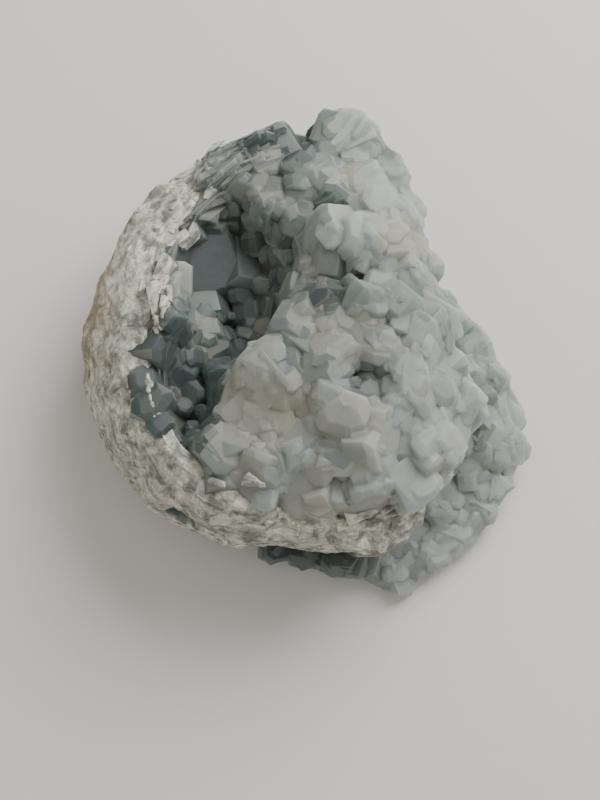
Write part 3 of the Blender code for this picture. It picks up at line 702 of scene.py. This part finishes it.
def celestite_material(colours):
    """Celestite, grown from brine and lightly etched: milky blue-grey, with clear dark depths and painted
    light and shade, both read from the clear attribute.
    """
    material, tree = blank_material(CELESTITE)
    where = add(tree, "ShaderNodeTexCoord").outputs["Object"]
    # The clear attribute is partly clear crystal and partly painted light and shade
    clear = add(tree, "ShaderNodeAttribute", {"attribute_name": "clear"}).outputs["Fac"]
    cream = add(tree, "ShaderNodeAttribute", {"attribute_name": "cream"}).outputs["Fac"]
    # Cloudy veils some 4 mm across run through the crystals
    veil = add(tree, "ShaderNodeTexNoise", {"Scale": 1 / (4 * MM), "Detail": 4.0, "Roughness": 0.6,
                                            "Distortion": 0.6}, Vector=where)
    fleck = add(tree, "ShaderNodeTexNoise", {"Scale": 1 / (0.9 * MM), "Detail": 3.0, "Roughness": 0.7},
                Vector=where)
    cloud = add(tree, "ShaderNodeMapRange", {"From Min": 0.3, "From Max": 0.7, "To Min": -0.12,
                                             "To Max": 0.12}, Value=veil.outputs["Fac"])
    fine = add(tree, "ShaderNodeMapRange", {"From Min": 0.3, "From Max": 0.7, "To Min": -0.04,
                                            "To Max": 0.04}, Value=fleck.outputs["Fac"])
    both = add(tree, "ShaderNodeMath", {"operation": "ADD"}, _0=cloud.outputs[0], _1=fine.outputs[0])
    # Clouds hardly show where the crystal is clear
    milky = add(tree, "ShaderNodeMath", {"operation": "SUBTRACT", 0: 1.2}, _1=clear)
    depth = add(tree, "ShaderNodeMath", {"operation": "MULTIPLY_ADD", "use_clamp": True}, _0=both.outputs[0],
                _1=milky.outputs[0], _2=clear)
    body = add(tree, "ShaderNodeMix", {"data_type": "RGBA", 6: (*colours.frosted, 1),
                                       7: (*colours.clear, 1)}, _0=depth.outputs[0])
    stained = add(tree, "ShaderNodeMix", {"data_type": "RGBA", 7: (*colours.cream, 1)}, _0=cream,
                  _6=body.outputs[2])
    rough = add(tree, "ShaderNodeMapRange", {"To Min": 0.6, "To Max": 0.55}, Value=depth.outputs[0])
    # Etch pits and growth lines, coarse enough to show from a step away
    etch = add(tree, "ShaderNodeTexNoise", {"Scale": 1 / (1.3 * MM), "Detail": 5.0, "Roughness": 0.65,
                                            "Distortion": 0.3}, Vector=where)
    # Handled edges are slightly rounded
    rounded = add(tree, "ShaderNodeBevel", {"samples": 4, "Radius": 0.55 * MM})
    relief = add(tree, "ShaderNodeBump", {"Strength": 0.25, "Distance": 0.4 * MM},
                 Height=etch.outputs["Fac"], Normal=rounded.outputs["Normal"])
    # Light goes some 10 mm into the hazy crystal, a little less of the red
    shader = add(tree, "ShaderNodeBsdfPrincipled",
                 {"IOR": 1.62, "Specular IOR Level": 0.25, "Transmission Weight": 0.4,
                  "Subsurface Weight": 1.0, "Subsurface Radius": (0.8, 1.0, 1.0),
                  "Subsurface Scale": 10.0 * MM},
                 Base_Color=stained.outputs[2], Roughness=rough.outputs[0], Normal=relief.outputs[0])
    add(tree, "ShaderNodeOutputMaterial", {}, Surface=shader.outputs[0])
    return material


def join_skins(mesh, skin):
    """Add a skin to another one's mesh. Their attributes of one name are kept."""
    bm = bmesh.new()
    bm.from_mesh(mesh)
    bm.from_mesh(skin.data)
    bm.to_mesh(mesh)
    bm.free()
    bpy.data.objects.remove(skin)


def climbs_at(place, normal):
    """Whether a place is on the inner edge of the rind that crystals of the pocket climb over."""
    arm, radius, azimuth = round_axis(place)
    inwards = -normal.dot(Vector((arm.x, arm.y, 0)).normalized())
    near = CLIMB_FROM < azimuth < CLIMB_TO and radius < CLIMB_RADIUS
    return near and inwards > 0.0 and place.z > BAND_LOW


def add_rind_rim(mesh):
    """Add the rind's inner edge to a skin, where crystals of the pocket climb over it."""
    crust = tree_of("crystal_crust")
    rim = filled_skin(merged_copy("matrix_rind"), CLIMB_SKIN * MM)
    bare = []
    for face in rim.data.polygons:
        place = face.center / MM
        jagged = CLIMB * (1.0 + 0.5 * noise.noise(place / 6.0))
        gap = crust.find_nearest(face.center)[3] / MM
        bare.append(float(climbs_at(place, face.normal) and gap < jagged))
    set_attribute(rim.data, "bare", bare, "FACE")
    join_skins(mesh, rim)


def trim_band(mesh):
    """Pull in what stands out from the smooth outline beside the left peak."""
    for vert in mesh.vertices:
        arm, radius, azimuth = round_axis(vert.co / MM)
        most = TRIM_RADIUS + 0.5 * noise.noise(vert.co / MM / 3.0)
        if TRIM_FROM < azimuth < BAND_END and radius > most:
            vert.co.x -= arm.x * (1 - most / radius) * MM
            vert.co.y -= arm.y * (1 - most / radius) * MM
    mesh.validate()


class CELESTITE_OT_druse(Operator):
    """Grow small crystals on the CAD crust and fuse them with it"""
    bl_idname = "celestite.druse"
    bl_label = "Druse"

    def execute(self, context):
        sizes = context.scene.celestite_sizes
        rind = tree_of("matrix_rind")
        druse = new_piece("celestite_druse", merged_copy("crystal_crust"))
        skin = filled_skin(druse.data, sizes.filling)
        bare = [bare_share(f.center, f.normal, rind) for f in skin.data.polygons]
        set_attribute(skin.data, "bare", bare, "FACE")
        add_rind_rim(skin.data)
        set_attribute(skin.data, "fine", [fine_share(f.center / MM) for f in skin.data.polygons], "FACE")
        kinds = new_kinds([crystal_mesh(*values) for values in CRYSTAL_KINDS])
        grow(druse, growth_tree(), {
            "Spacing": sizes.spacing, "Density": 0.25 / MM ** 2, "Narrowest": sizes.narrowest,
            "Widest": sizes.widest, "Proud": sizes.proud, "Tilt": sizes.tilt, "Seed": sizes.seed,
            "Skin": skin, "Kinds": kinds,
            "Material": celestite_material(context.scene.celestite_colours)})
        drop_kinds(kinds)
        bpy.data.objects.remove(skin)
        trim_band(druse.data)
        tone_facets(druse.data)
        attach(druse, "root")
        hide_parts("crystal_crust")
        print("druse triangles", sum(len(p.vertices) - 2 for p in druse.data.polygons))
        return {"FINISHED"}


def flow_at(place):
    """Distance along the rind's outline and across it, so that streaks can follow the outline."""
    arm = place - CORE_AXIS
    azimuth = (math.atan2(arm.y, arm.x) - math.radians(RIND_START)) % (2 * math.pi)
    radius = math.hypot(arm.x, arm.y)
    return azimuth * FLOW_RADIUS, place.z + FLOW_SLOPE * radius


def pit_distance(place, centre, reach):
    """Distance from a pit, 1 at its jagged edge. Pits are long and low, as the layers are."""
    offset = place - Vector(centre)
    level = offset.dot(along_at(place))
    across = (offset - along_at(place) * level).length
    jag = PIT_JAG * noise.noise(place / PIT_JAG_SIZE)
    return math.hypot(level / PIT_STRETCH, across * PIT_SQUEEZE) / reach + jag


def wear_depth(place):
    """Relief of the rind at a place: worn layers along the outline, lumps, chips and pits."""
    along_it, across = flow_at(place)
    chips = noise.voronoi(place / CHIP_RELIEF[1])[0]
    depth = 0.0
    for share, length, width, offset in LAYER_RELIEFS:
        depth += share * noise.noise(Vector((along_it / length, across / width, offset)))
    depth += LUMP_RELIEF[0] * noise.noise(place / LUMP_RELIEF[1])
    depth += GRIT_RELIEF[0] * noise.noise(place / GRIT_RELIEF[1])
    depth -= CHIP_RELIEF[0] * (chips[1] - chips[0])
    for centre, reach, deep in PITS:
        depth -= deep * math.exp(-pit_distance(place, centre, reach) ** 4)
    return depth - WEAR_LEVEL


def rind_material(colours):
    """Limestone-like matrix, broken and weathered: pale and rough, with streaks along its layers."""
    material, tree = blank_material("Matrix, broken and weathered")
    where = add(tree, "ShaderNodeTexCoord").outputs["Object"]
    flow = add(tree, "ShaderNodeAttribute", {"attribute_name": "flow"}).outputs["Vector"]
    tan = add(tree, "ShaderNodeAttribute", {"attribute_name": "tan"}).outputs["Fac"]
    chip = add(tree, "ShaderNodeAttribute", {"attribute_name": "chip"}).outputs["Fac"]
    # The flow attribute is in millimetres, so streaks are some 14 mm long and 1 mm wide
    stretched = add(tree, "ShaderNodeMapping", {"Scale": (1 / 14, 1 / 1.1, 1)}, Vector=flow)
    streak = add(tree, "ShaderNodeTexNoise", {"Scale": 1.0, "Detail": 5.0, "Roughness": 0.6,
                                              "Distortion": 0.5}, Vector=stretched.outputs[0])
    # Blotches some 6 mm across, mottling of 4 mm, and grain as coarse as it needs to show
    blotch = add(tree, "ShaderNodeTexNoise", {"Scale": 1 / (6 * MM), "Detail": 4.0, "Roughness": 0.6},
                 Vector=where)
    grain = add(tree, "ShaderNodeTexNoise", {"Scale": 1 / (0.7 * MM), "Detail": 4.0, "Roughness": 0.75},
                Vector=where)
    mottle = add(tree, "ShaderNodeTexNoise", {"Scale": 1 / (3.6 * MM), "Detail": 3.0, "Roughness": 0.55,
                                              "Distortion": 1.0}, Vector=where)
    # Streaks, mottling and blotches are added by their shares, which make up 1
    mixed = add(tree, "ShaderNodeMath", {"operation": "MULTIPLY_ADD", 1: 0.35}, _0=streak.outputs["Fac"])
    half = add(tree, "ShaderNodeMath", {"operation": "MULTIPLY_ADD", 1: 0.4}, _0=mottle.outputs["Fac"])
    rest = add(tree, "ShaderNodeMath", {"operation": "MULTIPLY", 1: 0.25}, _0=blotch.outputs["Fac"])
    tree.links.new(rest.outputs[0], half.inputs[2])
    tree.links.new(half.outputs[0], mixed.inputs[2])
    dull = add(tree, "ShaderNodeMapRange", {"From Min": 0.43, "From Max": 0.57}, Value=mixed.outputs[0])
    stone = add(tree, "ShaderNodeMix", {"data_type": "RGBA", 6: (*colours.pale_rind, 1),
                                        7: (*colours.grey_rind, 1)}, _0=dull.outputs[0])
    spread = add(tree, "ShaderNodeMapRange", {"From Min": 0.35, "From Max": 0.6},
                 Value=blotch.outputs["Fac"])
    patchy = add(tree, "ShaderNodeMath", {"operation": "MULTIPLY"}, _0=tan, _1=spread.outputs[0])
    weathered = add(tree, "ShaderNodeMix", {"data_type": "RGBA", 7: (*colours.tan_rind, 1)},
                    _0=patchy.outputs[0], _6=stone.outputs[2])
    speck = add(tree, "ShaderNodeMapRange", {"From Min": 0.35, "From Max": 0.65, "To Min": 0.86,
                                             "To Max": 1.1}, Value=grain.outputs["Fac"])
    tone = add(tree, "ShaderNodeMapRange", {"To Min": 0.78, "To Max": 1.16}, Value=chip)
    shade = add(tree, "ShaderNodeMath", {"operation": "MULTIPLY"}, _0=speck.outputs[0], _1=tone.outputs[0])
    coloured = add(tree, "ShaderNodeVectorMath", {"operation": "SCALE"}, Vector=weathered.outputs[2],
                   Scale=shade.outputs[0])
    # Pits are painted with the clear crystal's dark colour: partly the dark crystals in them, partly painted
    # shade in the hollows
    pit = add(tree, "ShaderNodeAttribute", {"attribute_name": "pit"}).outputs["Fac"]
    pitted_and_shaded = add(tree, "ShaderNodeMix", {"data_type": "RGBA", 7: (*colours.clear, 1)}, _0=pit,
                 _6=coloured.outputs[0])
    relief = add(tree, "ShaderNodeBump", {"Strength": 0.5, "Distance": 0.4 * MM},
                 Height=grain.outputs["Fac"])
    shader = add(tree, "ShaderNodeBsdfPrincipled", {"Roughness": 0.85, "IOR": 1.5,
                                                    "Subsurface Weight": 0.08, "Subsurface Scale": 1.0 * MM},
                 Base_Color=pitted_and_shaded.outputs[2], Normal=relief.outputs[0])
    add(tree, "ShaderNodeOutputMaterial", {}, Surface=shader.outputs[0])
    return material


def mark_rind(mesh):
    """Attributes that the rind's material reads: flow along the outline, tan skin, pits with their painted
    shade, tone of chips.
    """
    flow = []
    tan = []
    pit = []
    for vert in mesh.vertices:
        place = vert.co / MM
        nearest = min(pit_distance(place, centre, reach) for centre, reach, deep in PITS)
        pit.append(share_of((PIT_COLOUR_REACH - nearest) * PIT_COLOUR_EDGE))
        flow.extend((*flow_at(place), 0.0))
        outwards = (CORE_AXIS.x - place.x - TAN_FROM) / TAN_FADE
        tan.append(share_of(outwards) * share_of((place.y + TAN_SIDE) / TAN_SIDE))
    mesh.attributes.new("flow", "FLOAT_VECTOR", "POINT").data.foreach_set("vector", flow)
    set_attribute(mesh, "tan", tan, "POINT")
    set_attribute(mesh, "pit", pit, "POINT")
    chip = [noise.cell(f.center / MM * 0.9 + f.normal * 3.0) for f in mesh.polygons]
    set_attribute(mesh, "chip", chip, "FACE")


def set_along(mesh):
    """Give a skin the direction that splinters on it lie in."""
    values = [part for f in mesh.polygons for part in along_at(f.center / MM)]
    mesh.attributes.new("along", "FLOAT_VECTOR", "FACE").data.foreach_set("vector", values)


def add_crust_rim(mesh, filling):
    """Add the crust's skin close to the rind to a skin, with patches where chips of matrix hold on to it."""
    rind = tree_of("matrix_rind")
    crust_skin = filled_skin(merged_copy("crystal_crust"), filling, CHIP_RISE * MM)
    bare = []
    for face in crust_skin.data.polygons:
        gap = rind.find_nearest(face.center)[3] / MM
        place = face.center / MM
        patchy = 0.5 + 1.6 * noise.noise(place / CHIP_SPREAD)
        covered = gap < CHIP_REACH * patchy and not climbs_at(place, -(place - CORE_AXIS).normalized())
        for centre, reach in CHIP_PATCHES:
            covered = covered or (place - Vector(centre)).xy.length < reach
        bare.append(float(covered and face.normal.z > 0.0 and place.z > CHIP_LOW))
    set_attribute(crust_skin.data, "bare", bare, "FACE")
    join_skins(mesh, crust_skin)


class CELESTITE_OT_bladed_edge(Operator):
    """Lay long blades along the broken edge that goes on from the rind to the left peak"""
    bl_idname = "celestite.bladed_edge"
    bl_label = "Bladed edge"

    def execute(self, context):
        sizes = context.scene.celestite_sizes
        skin = filled_skin(merged_copy("crystal_crust"), 2 * sizes.filling)
        bare = [band_share(f.center / MM) * float(f.normal.z > -0.1) for f in skin.data.polygons]
        set_attribute(skin.data, "bare", bare, "FACE")
        set_along(skin.data)
        edge = new_piece("bladed_edge", bpy.data.meshes.new("bladed_edge"))
        kinds = new_kinds([splinter_mesh(*values) for values in LAYER_KINDS])
        grow(edge, growth_tree(aligned=True), {
            "Spacing": 1.1 * MM, "Density": 1.0 / MM ** 2, "Narrowest": 7.0 * MM, "Widest": 20.0 * MM,
            "Proud": 0.015, "Tilt": math.radians(5), "Seed": sizes.seed, "Skin": skin, "Kinds": kinds,
            "Material": bpy.data.materials[CELESTITE]})
        bpy.data.objects.remove(skin)
        drop_kinds(kinds)
        trim_band(edge.data)
        tone_facets(edge.data, spread=BLADE_VARIETY)
        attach(edge, "root")
        print("edge triangles", sum(len(p.vertices) - 2 for p in edge.data.polygons))
        return {"FINISHED"}


class CELESTITE_OT_rind(Operator):
    """Remesh the CAD rind finely, wear its open surface and break its rim"""
    bl_idname = "celestite.rind"
    bl_label = "Rind"

    def execute(self, context):
        sizes = context.scene.celestite_sizes
        crust = tree_of("crystal_crust")
        rind = new_piece("weathered_rind", merged_copy("matrix_rind"))
        remesh = rind.modifiers.new("Remesh", "REMESH")
        remesh.mode = "VOXEL"
        remesh.voxel_size = sizes.voxel
        mesh = evaluated(rind)
        low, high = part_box("matrix_rind")
        for vert, normal in [(v, v.normal.copy()) for v in mesh.vertices]:
            place = vert.co / MM
            gap = crust.find_nearest(vert.co)[3] / MM
            # Wear fades out towards the crust and the flat cut
            open_here = share_of((gap - 0.6) / 1.6) * share_of((place.z - 0.3) / 1.5)
            vert.co += normal * wear_depth(place) * sizes.wear * open_here
            vert.co.x = min(max(vert.co.x, low.x), high.x)
            vert.co.y = min(max(vert.co.y, low.y), high.y)
            vert.co.z = max(vert.co.z, 0.0)
        mesh.polygons.foreach_set("use_smooth", [True] * len(mesh.polygons))
        material = rind_material(context.scene.celestite_colours)
        skin = new_piece("skin", mesh.copy())
        bare = []
        for face in mesh.polygons:
            gap = crust.find_nearest(face.center)[3] / MM
            on_rim = share_of(RIM_SHARE - gap / RIM_WIDTH) if face.normal.z > -0.2 else 0.0
            on_rim *= float(not climbs_at(face.center / MM, face.normal))
            bare.append(max(on_rim, LOOSE_SHARE) if 2.0 < face.center.z / MM and gap > 0.5 else 0.0)
        set_attribute(skin.data, "bare", bare, "FACE")
        add_crust_rim(skin.data, sizes.filling)
        set_along(skin.data)
        kinds = new_kinds([splinter_mesh(*values) for values in SPLINTER_KINDS])
        grow(rind, growth_tree(aligned=True), {
            "Spacing": 2.2 * MM, "Density": 0.3 / MM ** 2, "Narrowest": 2.6 * MM, "Widest": 8.5 * MM,
            "Proud": 0.06, "Tilt": math.radians(14), "Seed": sizes.seed, "Skin": skin, "Kinds": kinds,
            "Material": material})
        bpy.data.objects.remove(skin)
        drop_kinds(kinds)
        mark_rind(rind.data)
        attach(rind, "root")
        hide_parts("matrix_rind")
        print("rind triangles", sum(len(p.vertices) - 2 for p in rind.data.polygons))
        return {"FINISHED"}


def aimed(item, place, target):
    """Put a camera or lamp in the scene, looking at a target."""
    item.location = place
    item.rotation_euler = (Vector(target) - Vector(place)).to_track_quat("-Z", "Y").to_euler()
    bpy.context.scene.collection.objects.link(item)


class CELESTITE_OT_stage(Operator):
    """Set the pale floor, the soft light from the upper right and the camera"""
    bl_idname = "celestite.stage"
    bl_label = "Stage"

    def execute(self, context):
        colours = context.scene.celestite_colours
        tilt = math.radians(CAMERA_HEIGHT)
        target = Vector(CAMERA_TARGET) * MM
        lens = bpy.data.cameras.new("camera")
        lens.lens = LENS_LENGTH
        lens.sensor_width = SENSOR_WIDTH
        camera = bpy.data.objects.new("camera", lens)
        aimed(camera, target + Vector((0, -math.cos(tilt), math.sin(tilt))) * CAMERA_DISTANCE * MM, target)
        context.scene.camera = camera

        floor = bpy.data.meshes.new("floor")
        corners = [(x * FLOOR_REACH, y * FLOOR_REACH, 0) for x, y in ((-1, -1), (1, -1), (1, 1), (-1, 1))]
        floor.from_pydata(corners, [], [(0, 1, 2, 3)])
        material, tree = blank_material("Painted board, matt")
        shader = add(tree, "ShaderNodeBsdfPrincipled", {"Base Color": (*colours.floor, 1), "Roughness": 0.75,
                                                        "Specular IOR Level": 0.2})
        add(tree, "ShaderNodeOutputMaterial", {}, Surface=shader.outputs[0])
        floor.materials.append(material)
        new_piece("floor", floor)

        key = bpy.data.lights.new("key", "AREA")
        key.energy = KEY_POWER
        key.size = KEY_SIZE
        aimed(bpy.data.objects.new("key", key), KEY_PLACE, KEY_TARGET)
        world = bpy.data.worlds.new("room")
        context.scene.world = world
        world.use_nodes = True
        background = world.node_tree.nodes["Background"]
        background.inputs["Color"].default_value = ROOM_COLOUR
        background.inputs["Strength"].default_value = ROOM_STRENGTH
        return {"FINISHED"}


class CELESTITE_PT_panel(Panel):
    """Sizes, colours and steps of the cluster"""
    bl_idname = "CELESTITE_PT_panel"
    bl_label = "Celestite cluster"
    bl_space_type = "VIEW_3D"
    bl_region_type = "UI"
    bl_category = "Celestite"

    def draw(self, context):
        for group in (context.scene.celestite_sizes, context.scene.celestite_colours):
            for name in group.bl_rna.properties.keys():
                if name not in ("rna_type", "name"):
                    self.layout.prop(group, name)
        for operator in OPERATORS:
            self.layout.operator(operator.bl_idname)


OPERATORS = (CELESTITE_OT_stage, CELESTITE_OT_druse, CELESTITE_OT_bladed_edge, CELESTITE_OT_rind)
CLASSES = (CelestiteSizes, CelestiteColours, *OPERATORS, CELESTITE_PT_panel)


def register():
    for item in CLASSES:
        bpy.utils.register_class(item)
    bpy.types.Scene.celestite_sizes = PointerProperty(type=CelestiteSizes)
    bpy.types.Scene.celestite_colours = PointerProperty(type=CelestiteColours)


def unregister():
    del bpy.types.Scene.celestite_colours
    del bpy.types.Scene.celestite_sizes
    for item in reversed(CLASSES):
        bpy.utils.unregister_class(item)


def main():
    register()
    bpy.ops.celestite.stage()
    bpy.ops.celestite.druse()
    bpy.ops.celestite.bladed_edge()
    bpy.ops.celestite.rind()


if __name__ == "__main__":
    main()
